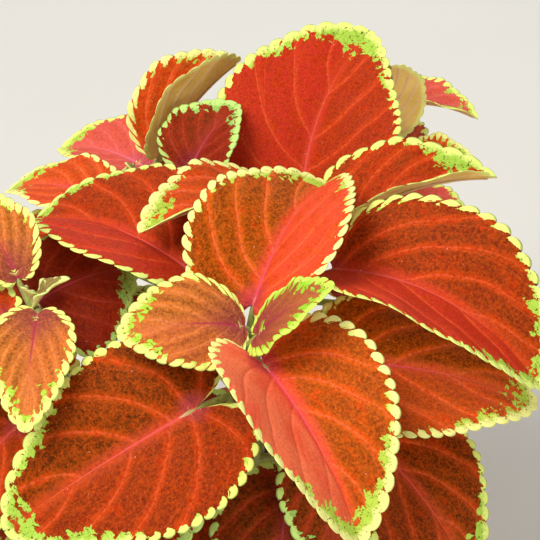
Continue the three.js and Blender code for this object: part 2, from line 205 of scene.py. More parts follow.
def carried_frames(path):
    """The direction of a path at each of its points, and two directions across it that don't spin."""
    ahead = unit(np.gradient(path, axis=0))
    across = [unit(np.cross(ahead[0], np.eye(3)[np.abs(ahead[0]).argmin()]))]
    for way in ahead[1:]:
        across.append(unit(across[-1] - (across[-1] @ way) * way))
    across = np.array(across)
    return ahead, across, np.cross(ahead, across)


def tube(path, radius, sides, corner=2.0):
    """Around each point of the path, at the angle w, the surface lies at the distance
    radius / (|cos w|**corner + |sin w|**corner)**(1/corner), a circle for 2 and nearly a square for 5.
    The ends are closed by a point each. Gives points, triangles, outward directions, (along, around) and the
    places of the triangles' corners on a flat strip."""
    _, across, other = carried_frames(path)
    w = 2 * np.pi * np.arange(sides) / sides
    form = (np.abs(np.cos(w)) ** corner + np.abs(np.sin(w)) ** corner) ** (-1 / corner)
    radial = np.cos(w)[:, None] * across[:, None] + np.sin(w)[:, None] * other[:, None]
    rings = path[:, None] + radial * (form * np.reshape(radius, (-1, 1)))[..., None]
    points = np.vstack([rings.reshape(-1, 3), path[0], path[-1]])
    count = len(path) * sides
    number = np.arange(count).reshape(len(path), sides)
    number = np.vstack([np.full(sides, count), number, np.full(sides, count + 1)])
    number = np.hstack([number, number[:, :1]])
    triangles = grid_triangles(number)
    cells = grid_triangles(np.arange(number.size).reshape(number.shape))
    kept = has_area(triangles)
    length = np.concatenate([[0], np.cumsum(np.linalg.norm(np.diff(path, axis=0), axis=1))])
    place = np.stack(np.broadcast_arrays(length[:, None], w[None, :]), -1).reshape(-1, 2)
    place = np.vstack([place, [length[0], 0], [length[-1], 0]])
    corners = np.stack([cells % (sides + 1) / sides, cells // (sides + 1) / (len(path) + 1)], -1)[kept]
    return points, triangles[kept], radial.reshape(-1, 3), place, corners


# %% [markdown]
# ## The leaves, one row each
#
# A row says where a leaf is, how it is coloured and how it is bent. The petiole leaves the stem at the height
# at, and the blade runs from base to tip. The pink and the brown shares of a row say how pink and how brown
# the left and the right half are; the pink is partly the leaf's own and partly a painted sheen. left and
# right are how far each half is folded up, in degrees, at the midrib and at the edge. arch lifts the middle
# of the blade, bend swings it sideways, roll turns it about its length, and lobe is how far the heart-shaped
# base reaches back.

# %% The rows
def leaf(at, base, tip, width, look, rosy_and_sheen, mottle, fold=(10, 0), **bends):
    """A leaf's row with the usual values for what it leaves out. fold stands for left and right."""
    row = {"at": at, "base": base, "tip": tip, "width": width, "look": look, "rosy_and_sheen": rosy_and_sheen, "mottle": mottle}
    return {**row, "arch": 0.1, "bend": 0, "roll": 0, "lobe": 0.14, "left": fold, "right": fold, **bends}


LEAVES = {
    "front": [
        leaf(272, (-5, -70, 293), (26, -71, 320), 40, "tender", (.3, .4), (.6, .5), arch=.05, left=(0, -6),
             right=(12, 0)),
        leaf(268, (-10.5, -57, 285.5), (-63, -67, 290), 45, "young", (.6, .3), (.8, .9), roll=-20,
             lobe=.02),
        leaf(262, (-7, -38, 281), (26, 39, 287), 80, "painted_sunlit", (0, .9), (.9, .15), arch=.13, roll=-5,
             lobe=.12, left=(24, 30), right=(41, 16)),
        leaf(258, (-3.5, -79.5, 286), (36, -141, 244), 82, "painted_sunlit", (.1, 1.8), (.8, .2), bend=-.01,
             lobe=.17, left=(16, 24), right=(32, 44)),
        leaf(256, (27, -11, 278), (115, -62, 255), 84, "full", (.2, .8), (.8, .25), arch=.14, bend=-.03,
             lobe=.05, left=(34, 34), right=(18, 34)),
        leaf(252, (-35, -2, 269), (-113, 52, 250), 84, "full", (.8, .3), (.6, .7), arch=.14, left=(36, 14),
             right=(20, 8)),
        leaf(244, (-31, -82, 262), (-112, -104, 212), 84, "full", (.25, 0), (.8, 1), arch=.08, roll=-35,
             lobe=.24, left=(5, -8), right=(8, -5)),
        leaf(238, (22, -54, 262), (115, -56, 240), 78, "painted_sunlit", (0, .3), (1, .8), arch=.08, roll=4,
             left=(12, 5), right=(0, -5)),
        leaf(228, (-40, -11, 240), (-74, 14, 238), 44, "dark", (.2, .2), (.5, .5)),
        leaf(222, (35, -73, 244), (87, -113, 186), 78, "full", (0, .1), (.9, .9)),
        leaf(214, (29, -74, 236), (26, -109, 190), 50, "dark", (0, 0), (.9, .9)),
        leaf(203, (8, -77, 212), (2, -112, 150), 62, "dark", (0, 0), (.9, .9)),
        leaf(208, (-32, -52, 240), (-58, -110, 188), 60, "dark", (.1, .1), (.5, .5), lobe=.1),
        leaf(184, (-38, -60, 190), (-86, -116, 144), 66, "full", (.2, .1), (.7, .8)),
        leaf(176, (36, -58, 186), (74, -120, 142), 66, "full", (.1, .2), (.8, .7)),
        leaf(168, (36, -26, 204), (92, -36, 166), 60, "full", (.2, .1), (.7, .8)),
    ],
    "middle": [
        leaf(250, (-2, 47, 270), (-57, 0, 289), 48, "painted_sunlit", (.1, .3), (.5, .5), arch=.08, left=(44, 42),
             right=(25, 20)),
        leaf(244, (15, 71, 256), (48, 142, 300), 98, "full", (.8, .5), (.4, .6), arch=.06, bend=-.06,
             lobe=.16, left=(28, 16), right=(24, 14)),
        leaf(240, (30, 28, 270), (102, 42, 287), 56, "full", (.2, .1), (.4, .5), arch=.12, left=(28, 24),
             right=(48, 40)),
        leaf(230, (34, 14, 238), (118, 8, 214), 72, "full", (.2, .2), (.6, .6)),
        leaf(222, (-2, 62, 240), (-22, 144, 226), 76, "full", (.1, .2), (.8, .7)),
    ],
    "left": [
        leaf(272, (-98, -44, 281), (-100, -97, 263), 37, "young", (.4, .2), (.7, .9), lobe=.08,
             fold=(12, 5)),
        leaf(273, (-108, -24, 284), (-131, 15, 296), 38, "young", (.4, .2), (.8, .9), arch=.08, lobe=.08,
             left=(20, 10), right=(45, 35)),
        leaf(262, (-112, -40, 276), (-164, -48, 258), 46, "full", (.2, .3), (.6, .6), fold=(20, 10)),
        leaf(246, (-106, -11, 256), (-60, 14, 258), 72, "dark", (.4, .6), (.3, .3), lobe=.1,
             left=(10, -10), right=(-10, -45)),
        leaf(236, (-118, -10, 246), (-165, 38, 222), 62, "full", (.2, .3), (.6, .6)),
        leaf(222, (-110, -48, 220), (-156, -100, 178), 70, "full", (.2, .1), (.7, .8)),
        leaf(196, (-100, -6, 206), (-162, 12, 160), 68, "full", (.1, .2), (.8, .7)),
        leaf(176, (-90, -24, 182), (-146, -54, 138), 62, "full", (.2, .1), (.7, .8)),
    ],
    "back_left": [
        leaf(246, (-37, 75, 267), (-15, 97, 289), 48, "dark", (.3, .5), (.5, .3), left=(15, 10),
             right=(25, 10)),
        leaf(242, (-54, 100, 255), (-14, 137, 286), 54, "painted_sunlit", (.2, .1), (.4, .5), lobe=.04,
             left=(46, 40), right=(76, 82)),
        leaf(236, (-80, 78, 247), (-128, 103, 233), 50, "painted_sunlit", (.5, .3), (.4, .4), left=(20, 10),
             right=(8, 0)),
        leaf(230, (-63, 117, 237), (-105, 140, 231), 50, "pink", (.6, .6), (.3, .3), fold=(20, 10)),
        leaf(222, (-84, 56, 236), (-132, 85, 218), 40, "full", (.2, .2), (.6, .6), fold=(20, 10)),
        leaf(212, (-52, 112, 222), (-84, 182, 188), 72, "full", (.2, .1), (.7, .8)),
        leaf(200, (-82, 78, 208), (-142, 112, 164), 72, "full", (.1, .2), (.8, .7)),
        leaf(186, (-36, 88, 194), (-48, 158, 146), 72, "full", (.2, .1), (.7, .8)),
    ],
    "back_right": [
        leaf(242, (59, 66, 252), (98, 58, 238), 38, "pink", (.6, .6), (.2, .2), fold=(20, 10)),
        leaf(238, (60, 125, 254), (57, 112, 300), 34, "painted_sunlit", (.2, .2), (.5, .5), fold=(30, 30)),
        leaf(234, (75, 98, 248), (100, 106, 248), 40, "painted_sunlit", (.2, .2), (.5, .5), fold=(20, 10)),
        leaf(224, (62, 152, 250), (104, 146, 244), 36, "pink", (.5, .5), (.2, .2), left=(20, 10),
             right=(40, 30)),
        leaf(220, (46, 126, 230), (38, 198, 200), 74, "full", (.1, .2), (.8, .7)),
        leaf(208, (80, 100, 206), (86, 160, 146), 58, "full", (.2, .1), (.7, .8)),
        leaf(200, (84, 56, 206), (140, 52, 154), 68, "full", (.1, .2), (.8, .7)),
        leaf(186, (54, 84, 194), (78, 150, 146), 70, "full", (.2, .1), (.7, .8)),
    ],
}

STEMS = {
    "front": [(0, -30, 116), (-4, -44, 170), (-7, -55, 230), (-9, -55, 272)],
    "middle": [(6, 6, 116), (8, 18, 165), (9, 26, 215), (9, 32, 256)],
    "left": [(-42, -12, 116), (-66, -22, 170), (-90, -32, 230), (-101, -35, 278)],
    "back_left": [(-28, 34, 116), (-44, 58, 165), (-56, 76, 215), (-62, 86, 252)],
    "back_right": [(34, 36, 116), (52, 64, 165), (63, 84, 210), (68, 94, 246)],
}

BUDS = {
    "front": [((-14, -54, 280), 6), ((-4, -58, 280), 6)],
    "middle": [((0, 27, 270), 10), ((14, 42, 267), 8)],
    "left": [((-84, -35, 293), 10), ((-105, -38, 291), 7)],
    "back_left": [((-70, 79, 262), 9), ((-69, 88, 261), 6)],
    "back_right": [((62, 90, 258), 9), ((75, 98, 258), 9)],
}
print("leaves:", sum(len(rows) for rows in LEAVES.values()), "on", len(STEMS), "stems")


# %% [markdown]
# ## The form of a blade
#
# Half of a coleus blade is nearly a half circle, drawn out to a point at the tip and pinched in where the
# petiole joins. The blade is a function of two parameters. t runs around the edge from the petiole to the
# tip, and v runs from the midrib out to the edge. A line of constant t leaves the midrib well behind the
# place where it meets the edge, as the side veins do, so the side veins lie on lines of the grid.

# %% The flat half blade
WIDEST = 0.43
SIDE_VEINS = 5.4


def outline(t, lobe):
    """A circle of radius 0.43 about a point of the midrib, where the turn from the tip is pi * (1-t)**1.15.
    exp(-(turn/0.49)**1.4) draws it out to the tip and exp(-((pi-turn)/0.16)**2) pinches it in at the base.
    Gives the distance out, with the half width as 1, and along, with the length as 1."""
    middle = WIDEST - lobe
    turn = np.pi * (1 - t) ** 1.15
    drawn = (1 - WIDEST - middle) * np.exp(-((turn / 0.49) ** 1.4))
    pinched = (WIDEST - middle) * np.exp(-(((np.pi - turn) / 0.16) ** 2))
    radius = WIDEST + drawn - pinched
    return radius * np.sin(turn) / WIDEST, middle + radius * np.cos(turn)


def flat_half(leaf, t, v):
    """out = v * outline, along = root + (outline - root) * v**1.2 with root = t**3.5, and near the edge both
    move outwards by the scallops: |sin(pi * scallops * t)|**0.6 - 0.6, times their depth. Also gives how far
    each place is from the nearest point of the even edge."""
    half, length = leaf["width"] / 2, leaf["length"]
    out, along = outline(t, leaf["lobe"])
    out, along = out * half, along * length
    outwards = unit(np.stack([np.gradient(along), -np.gradient(out)], -1))
    crest = np.abs(np.sin(np.pi * leaf["scallops"] * t)) ** 0.6 - 0.6
    push = leaf["depth"] * crest * np.clip(np.minimum(t / 0.06, (1 - t) / 0.04), 0, 1)
    near = np.clip((v - 0.72) / 0.28, 0, 1) ** 1.7
    root = length * t[:, None] ** 3.5
    a = np.outer(out, v) + np.outer(push * outwards[:, 0], near)
    b = root + (along[:, None] - root) * v**1.2 + np.outer(push * outwards[:, 1], near)
    edge = np.stack([out, along], -1)
    inside = np.linalg.norm(np.stack([a, b], -1)[:, :, None] - edge[None, None], axis=-1).min(-1)
    return a, b, inside


def vein_map(leaf, t, v, a, b, hand):
    """phi counts the side veins and is whole on a vein. It grows with s**1.35, where
    s = t - 0.24 * v**1.7 * (1-t)**0.4 * rise makes each vein bend forward on its way to the edge. gap is
    the distance between two veins: 1 / |grad phi|, from the steps of a, b and phi along t and along v. rung
    counts the small cross veins on the way from the midrib to the edge."""
    t = t[:, None]
    wobble = 0.10 * ripple(a * hand, b, 26, leaf["number"]) * v
    shift = 0.3 if hand > 0 else 0.42
    forward = 0.24 * v**1.7 * (1 - t) ** 0.4 * smooth(t, 0, 0.5)
    phi = SIDE_VEINS * np.maximum(t - forward, 0) ** 1.35 - shift + wobble
    a_t, b_t, phi_t = (np.gradient(x, axis=0) for x in (a, b, phi))
    a_v, b_v, phi_v = (np.gradient(x, axis=1) for x in (a, b, phi))
    area = np.maximum(np.abs(a_t * b_v - a_v * b_t), 1e-6)
    slope = np.hypot(phi_t * b_v - phi_v * b_t, phi_v * a_t - phi_t * a_v) / area
    gap = np.clip(1 / np.maximum(slope, 1e-3), 0, 40)
    rung = leaf["width"] / 9 * v + 0.37 * np.round(phi) + 0.5 * ripple(a * hand, b, 9, leaf["number"] + 99)
    return phi, rung, gap


# %% [markdown]
# ## Bending the blade
#
# The midrib is an arc from base to tip. Each half turns up or down about it and curls on its way to the
# edge, and the edge waves a little.

# %% Bending the blade
def bend_half(leaf, a, b, hand):
    """The angle at the distance a from the midrib is start + (end - start) * a / half, so the section is an
    arc. Its reach and lift are the sums of the cosine and sine of that angle, and the edge waves. Gives the
    places and their upward directions."""
    half, chord = leaf["width"] / 2, leaf["chord"]
    x = b / leaf["length"]
    swing, slope = (4 * x * (1 - x))[..., None], (4 * (1 - 2 * x))[..., None]
    ahead, up, side = leaf["ahead"], leaf["up"], leaf["side"]
    place = leaf["start"] + ahead * (chord * x)[..., None]
    place = place + chord * swing * (up * leaf["arch"] + side * leaf["bend"])
    tangent = unit(ahead + slope * (up * leaf["arch"] + side * leaf["bend"]))
    across = unit(side - (tangent @ side)[..., None] * tangent)
    normal = np.cross(across, tangent)
    start, end = np.radians(leaf["right" if hand > 0 else "left"])
    curl = (end - start) / half if abs(end - start) > 1e-6 else 1e-6
    angle = start + curl * a
    reach = (np.sin(angle) - np.sin(start)) / curl
    phase = 2.3 * x + (0.37 if hand > 0 else 0)
    wave = EDGE_WAVE * (a / half) ** 2 * np.sin(2 * np.pi * phase) * np.sin(np.pi * np.clip(x, 0, 1))
    lift = (np.cos(start) - np.cos(angle)) / curl + wave
    place = place + across * (hand * reach)[..., None] + normal * lift[..., None]
    facing = normal * np.cos(angle)[..., None] - across * (hand * np.sin(angle))[..., None]
    return place, facing


def prepare(row, number):
    """Adds a leaf's own directions and counts to its row. An arc over a chord is longer than the chord by
    8/3 of the square of its rise."""
    leaf = dict(row, number=number, start=np.array(row["base"], float))
    chord = np.array(row["tip"], float) - leaf["start"]
    leaf["chord"] = np.linalg.norm(chord)
    leaf["length"] = leaf["chord"] * (1 + 8 / 3 * (row["arch"] ** 2 + row["bend"] ** 2))
    leaf["ahead"] = ahead = chord / leaf["chord"]
    level = unit(np.array([0, 0, 1.0]) - ahead[2] * ahead)
    turn = np.radians(row["roll"])
    leaf["up"] = level * np.cos(turn) + np.cross(ahead, level) * np.sin(turn)
    leaf["side"] = np.cross(ahead, leaf["up"])
    leaf["depth"] = SCALLOP_DEPTH * leaf["length"]
    leaf.setdefault("scallops", SCALLOPS_LARGE if leaf["length"] > LARGE_LEAF else SCALLOPS_SMALL)
    leaf.setdefault("thick", BLADE_THICK)
    leaf["relief"] = min(1, leaf["length"] / 90)
    return leaf


# %% [markdown]
# ## Relief and thickness
#
# The bent surface is the middle of the blade. The relief lies on it: the tissue swells between the veins, and
# the veins are sunk into the upper face and stand out below. Both faces meet at the rim.

# %% The closed blade
def faces_of(leaf, fine, columns):
    """The closed blade: an upper and a lower face for each half, with shared lines at midrib and rim. Its
    relief is a swelling between the veins, a ladder of small cross veins, slow dents and a bead at each
    scallop, less a groove above each vein or plus a ridge below it."""
    t = np.linspace(0, 1, leaf["scallops"] * fine + 1)
    v = 1 - (1 - np.linspace(0, 1, columns + 1)) ** 1.3
    a, b, inside = flat_half(leaf, t, v)
    halves = {hand: bend_half(leaf, a, b, hand) for hand in (1, -1)}
    crease = halves[1][1][:, :1] + halves[-1][1][:, :1]
    length = np.linalg.norm(crease, axis=-1, keepdims=True)
    crease = crease / length / np.maximum(length / 2, 0.7)
    body = np.sqrt(1 - v**10) * np.sin(np.pi * t)[:, None].clip(0, 0.2) / 0.2
    rosy_and_sheen, mottle = (np.array(leaf[key]) for key in ("rosy_and_sheen", "mottle"))
    grids, values = [], []
    for hand, (place, facing) in halves.items():
        facing[:, :1] = crease
        phi, rung, gap = vein_map(leaf, t, v, a, b, hand)
        off = np.abs(phi - np.round(phi))
        ends = np.sin(np.pi * t)[:, None].clip(0, 0.3) / 0.3
        open_field = smooth(v, 0, 0.12) * (1 - smooth(v, 0.86, 0.99)) * ends
        swell = (1 - (1 - 2 * off) ** 2) * open_field * np.minimum(gap / 12, 1) * leaf["relief"]
        ladder = np.abs(np.sin(np.pi * rung)) ** 0.7 * (1 - (1 - 2 * off) ** 4) * open_field
        slow = 0.8 * ripple(a * hand, b, 34, leaf["number"] + 5) * smooth(v, 0, 0.3) * ends
        bead = np.abs(np.sin(np.pi * leaf["scallops"] * t))[:, None] * smooth(v, 0.84, 0.95) * ends
        lift = 0.45 * swell + leaf["relief"] * (0.16 * ladder + 0.3 * bead) + slow * leaf["relief"]
        groove = 0.22 * np.exp(-((off * gap / 0.7) ** 2)) * open_field
        groove = groove + 0.45 * np.exp(-((a / 1.1) ** 2)) * ends
        ridge = 0.45 * np.exp(-((off * gap / 0.6) ** 2)) * open_field
        middle = 0.5 + 0.5 * smooth(v, 0, 0.12)
        own = 1 if hand > 0 else 0
        tint = [q.mean() + (q[own] - q.mean()) * smooth(v, 0.02, 0.2) for q in (rosy_and_sheen, mottle)]
        for side in (1, -1):
            cut = groove if side > 0 else ridge
            height = lift + side * leaf["thick"] * body - cut * body * leaf["relief"] * middle
            grids.append(place + facing * height[..., None])
            under = 0.0 if side > 0 else 1.0
            tone = [np.broadcast_to(x, a.shape) for x in (*tint, under)]
            beads = np.broadcast_to(leaf["scallops"] * t[:, None], a.shape)
            centre, spread = (0.3, 0.29) if side > 0 else (0.83, 0.16)
            u = centre + spread * hand * a / a.max()
            w = 0.01 + 0.98 * (b - b.min()) / (b.max() - b.min())
            values.append({
                "flat": np.stack([hand * a * MM, b * MM, np.full_like(a, 0.3 * leaf["number"])], -1),
                "vein": np.stack([phi, rung, gap * MM], -1),
                "rim": np.stack([inside * MM, beads, np.broadcast_to(t[:, None], a.shape)], -1),
                "tone": np.stack(tone, -1),
                "out": np.broadcast_to(v, a.shape),
                "map": np.stack([u, w], -1),
            })
    return grids, values


def blade(leaf, fine, columns):
    """The blade's four grids, welded into one closed mesh. Each corner of a triangle keeps its own place on
    the flat map, because both faces share the points of the rim but lie apart on the map."""
    grids, values = faces_of(leaf, fine, columns)
    size = grids[0].shape[0] * grids[0].shape[1]
    number = np.arange(size).reshape(grids[0].shape[:2])
    faces = grid_triangles(number)
    flipped = faces[:, ::-1]
    triangles = np.concatenate([faces, flipped + size, flipped + 2 * size, faces + 3 * size])
    points = np.concatenate([grid.reshape(-1, 3) for grid in grids])
    joined = {key: np.concatenate([v[key].reshape(size, -1) for v in values]) for key in values[0]}
    corners = joined.pop("map")[triangles]
    joined["out"] = joined["out"].ravel()
    points, triangles, joined, kept = weld(points, triangles, joined)
    return points, triangles, joined, corners[kept]


# %% [markdown]
# ## Shader maths as Python expressions
#
# A finish is a tree of nodes. Written by hand, such a tree hides its own formulas, so one small class wraps a
# node's output and lets Python's operators add the Math nodes. Colours go through Mix nodes, because a Math
# node would turn them grey.

# %% The wire class
class Wire:
    """One output of a node. An expression on it adds Math nodes to the tree and gives a new wire."""

    def __init__(self, tree, socket=None):
        self.tree, self.socket = tree, socket

    def node(self, kind, settings=None, inputs=None, output=0):
        """Adds any node: first its settings, then the values or wires of its sockets, by name or number."""
        made = self.tree.nodes.new(kind)
        for key, value in (settings or {}).items():
            setattr(made, key, value)
        for key, value in (inputs or {}).items():
            if isinstance(value, Wire):
                self.tree.links.new(value.socket, made.inputs[key])
            else:
                made.inputs[key].default_value = value
        return Wire(self.tree, made.outputs[output])

    def math(self, operation, *values):
        return self.node("ShaderNodeMath", {"operation": operation}, dict(enumerate(values)))

    def __add__(self, other):
        return self.math("ADD", self, other)

    def __sub__(self, other):
        return self.math("SUBTRACT", self, other)

    def __rsub__(self, other):
        return self.math("SUBTRACT", other, self)

    def __mul__(self, other):
        return self.math("MULTIPLY", self, other)

    def __truediv__(self, other):
        return self.math("DIVIDE", self, other)

    def __pow__(self, other):
        return self.math("POWER", self, other)

    __radd__, __rmul__ = __add__, __mul__

    def rise(self, low, high):
        """0 below low, 1 above high, and a smooth step between them."""
        settings = {"interpolation_type": "SMOOTHSTEP"}
        return self.node("ShaderNodeMapRange", settings, {"Value": self, "From Min": low, "From Max": high})

    def fall(self, low, high):
        return 1 - self.rise(low, high)

    def from_whole(self):
        """The distance to the nearest whole number."""
        return self.math("ABSOLUTE", self - self.math("ROUND", self))

    def mix(self, low, high):
        """The colour low where this wire is 0 and high where it is 1."""
        return self.node("ShaderNodeMix", {"data_type": "RGBA"}, {0: self, 6: low, 7: high}, 2)

    def parts(self):
        split = self.node("ShaderNodeSeparateXYZ", None, {0: self})
        return split, *(Wire(self.tree, split.socket.node.outputs[k]) for k in (1, 2))

    def joined(self, x, y, z):
        return self.node("ShaderNodeCombineXYZ", None, {0: x, 1: y, 2: z})

    def shifted(self, other):
        return self.node("ShaderNodeVectorMath", {"operation": "ADD"}, {0: self, 1: other})

    def scaled(self, x, y, z):
        return self.node("ShaderNodeVectorMath", {"operation": "MULTIPLY"}, {0: self, 1: (x, y, z)})

    def noise(self, size, detail=3.0, rough=0.55, output=0):
        """Soft random values at these coordinates, in metres, with features of about size millimetres."""
        inputs = {"Vector": self, "Scale": 1 / (size * MM), "Detail": detail, "Roughness": rough}
        return self.node("ShaderNodeTexNoise", None, inputs, output)

    def cells(self, size, feature="DISTANCE_TO_EDGE", output="Distance"):
        """A net of cells of about size millimetres: how far a place is from the nearest wall, or centre."""
        inputs = {"Vector": self, "Scale": 1 / (size * MM)}
        return self.node("ShaderNodeTexVoronoi", {"feature": feature}, inputs, output)

    def read(self, name, output="Vector"):
        """The values that the mesh holds at its points under a name."""
        return self.node("ShaderNodeAttribute", {"attribute_name": name}, None, output)

    def place(self):
        """Where a place is on the object, in metres."""
        return self.node("ShaderNodeTexCoord", None, None, "Object")


def colour(code):
    """A linear colour with alpha from a six-digit code such as c83c1c."""
    c = np.array([int(code[k : k + 2], 16) for k in (0, 2, 4)]) / 255
    return (*np.where(c < 0.04045, c / 12.92, ((c + 0.055) / 1.055) ** 2.4), 1.0)


def new_finish(name, **fixed):
    """A material with one Principled shader, whose even values are set on its own sockets."""
    material = bpy.data.materials.new(name)
    material.use_nodes = True
    shader = material.node_tree.nodes["Principled BSDF"]
    for key, value in fixed.items():
        shader.inputs[key.replace("_", " ")].default_value = value
    return material, Wire(material.node_tree), shader


def plug(start, shader, **wires):
    """Leads the varying values to the shader's sockets. height, in millimetres, goes through a Bump node."""
    height = wires.pop("height", None)
    if height is not None:
        bump = {"Distance": MM, "Height": height, "Strength": 1.0}
        wires["Normal"] = start.node("ShaderNodeBump", None, bump)
    for key, wire in wires.items():
        start.tree.links.new(wire.socket, shader.inputs[key.replace("_", " ")])


# %% [markdown]
# ## The leaf's colours
#
# The red of a coleus leaf lies over green tissue. Where it is thin, between the veins, the leaf looks brown
# or olive, and along the veins it glows orange and pink. The edge has no red at all, so each scallop is a
# yellow-green bead, and towards the tip the beads run together. The pattern follows the leaf, so the finish
# reads the values that the mesh holds: the flat place, the count of side veins and the distance to the rim.

# %% Kinds of leaf, with a lit and a shaded copy of the full kind
LOOKS = {
    # The sunlit look is the full look made brighter: painted light for the leaves in the sun.
    "painted_sunlit": dict(red="cc3606", brown="9a4e08", dark="642802", orange="ee6c18", rosy_and_sheen="ea4a34",
                  vein="f47650", midrib="e0506a", root="b03050", green="b8d44c", pale="f6f494",
                  under="ffda78", olive="e4bc50", bead=3.6, tip=9, flush=12, veins=0.6),
    "full": dict(red="b02a04", brown="783a08", dark="421400", orange="d8520e", rosy_and_sheen="cc2c24",
                 vein="e8643c", midrib="dc5450", root="9c3c48", green="acd04c", pale="e6f280",
                 under="ffd670", olive="dcb84c", bead=3.2, tip=9, flush=9, veins=0.6),
    "young": dict(red="c8621e", brown="925c18", dark="5c2c08", orange="ea8c38", rosy_and_sheen="c45438",
                  vein="ee8c56", midrib="a8304c", root="701c3c", green="acd440", pale="ecf684",
                  under="ffd878", olive="e0bc54", bead=3.8, tip=6, flush=24, veins=0.6),
    "tender": dict(red="b05c2c", brown="946428", dark="6c3c1c", orange="c87838", rosy_and_sheen="b04a40",
                   vein="cc7850", midrib="a02048", root="84143c", green="9cd034", pale="ccec5c",
                   under="ffd878", olive="e0bc54", bead=6.0, tip=5, flush=26, veins=0.4),
    # The dark look is the full look made darker: painted shade for leaves low in the plant and under others.
    "dark": dict(red="8a1e08", brown="643408", dark="380a02", orange="b0400e", rosy_and_sheen="84181c",
                 vein="b84636", midrib="bc4454", root="701c34", green="94c05c", pale="c0e07c",
                 under="e8b460", olive="c49c48", bead=3.0, tip=7, flush=10, veins=0.5),
    "pink": dict(red="d84838", brown="b45830", dark="8c301c", orange="e47448", rosy_and_sheen="dc5458",
                 vein="ec7c78", midrib="ec7488", root="b84c68", green="b0d44c", pale="ecf680",
                 under="ffd080", olive="e8b860", bead=3.0, tip=6, flush=12, veins=0.5),
    "bud": dict(red="8c7a34", brown="7c7c30", dark="6c5028", orange="a09040", rosy_and_sheen="904850",
                vein="a8a050", midrib="a06068", root="7c4450", green="9cb844", pale="dcea90",
                under="a8a85c", olive="8c9848", bead=1.0, tip=2, flush=4, veins=0.3),
}
print("kinds of leaf:", *LOOKS)

# %% [markdown]
# ## Veins and beads
#
# The mesh counts the side veins, so the distance to the nearest one is the distance of that count to a whole
# number, times the gap between two veins. Each vein forks on its way to the edge. The bead of a scallop is
# widest at its crest.

# %% Veins and beads
def vein_lines(flat, v, t, vein, streak):
    """How near a place is to a side vein, closely and widely, to a fork, to the midrib, closely and widely,
    and to a small cross vein: 1 on the line, and 0 from some distance on."""
    phi, rung, gap = vein
    out = flat.math("ABSOLUTE", flat.parts()[0])
    side = phi.from_whole() * gap
    slim, blur = v.fall(0.2, 1.1) * 0.6 + 0.4, 0.7 + 0.6 * streak
    lines = (side / slim).fall(0.15 * MM, 1.0 * MM) * t.fall(0.93, 0.99)
    glow = (side / blur).fall(0.3 * MM, 3.2 * MM)
    fork = (phi - 0.36 * v.rise(0.42, 1.0)).from_whole() * gap / slim
    forks = fork.fall(0.1 * MM, 0.9 * MM) * v.rise(0.42, 0.6)
    middle = (out / t.fall(0.2, 1.2)).fall(0.3 * MM, 1.5 * MM)
    middle_glow = (out / blur).fall(0.5 * MM, 6 * MM)
    rungs = rung.from_whole().fall(0.0, 0.16) * v.rise(0.05, 0.2)
    return lines, glow, forks, middle, middle_glow, rungs


def edge_beads(flat, v, rim, fleck, bent, look, c):
    """The edge covers what lies nearer to the rim than bead * |sin(pi * beads)|**0.7, and from t = 0.6 to the
    tip another tip**1.2. Both are uneven and torn. Gives its colour, its cover and the outer part of the
    blade, where an edge can be."""
    inside, beads, t = rim
    crest = flat.math("ABSOLUTE", flat.math("SINE", beads * np.pi))
    uneven = flat.joined(beads * 0.8, inside * 60, flat.parts()[2]).noise(METRE, 2, 0.5)
    tip = flat.math("MAXIMUM", t - 0.6, 0.0) / 0.4
    width = crest**0.7 * (look["bead"] * MM * (0.4 + 1.2 * uneven))
    width = width + tip**1.2 * (look["tip"] * MM * (uneven * 3 - 0.7))
    patch = bent.cells(2.6, "F1", "Color").parts()[0] - 0.5
    torn = (patch * 0.6 + flat.noise(1.8, 4, 0.75) - 0.5) * (tip * 10 + 3) * MM
    outer = flat.math("MAXIMUM", v.rise(0.62, 0.7), t.rise(0.3, 0.5))
    band = (inside + torn).fall(width - 0.12 * MM, width + 0.12 * MM) * t.rise(0.01, 0.04) * outer
    edge = (flat.noise(4, 3) * 0.9 + inside.rise(0.8 * MM, 6 * MM) * 0.5 + fleck * 0.2).rise(0.6, 1.0)
    edge = edge.mix(c["pale"], c["green"])
    seam = bent.cells(2.6).fall(0.0, 0.05) * tip.rise(0.05, 0.3) * inside.rise(1 * MM, 3 * MM)
    edge = (seam * 0.4).mix(edge, c["dark"])
    notch = crest.fall(0.1, 0.5) * inside.fall(1 * MM, 4 * MM) * tip.fall(0.3, 0.8)
    edge = (notch * 0.35).mix(edge, c["green"])
    specks = flat.noise(1.5, 2, 0.6).rise(0.6, 0.66) * tip.rise(0.0, 0.3) * inside.rise(0.8 * MM, 2.2 * MM)
    edge = (specks * 0.85).mix(edge, c["dark"])
    return edge, band, outer
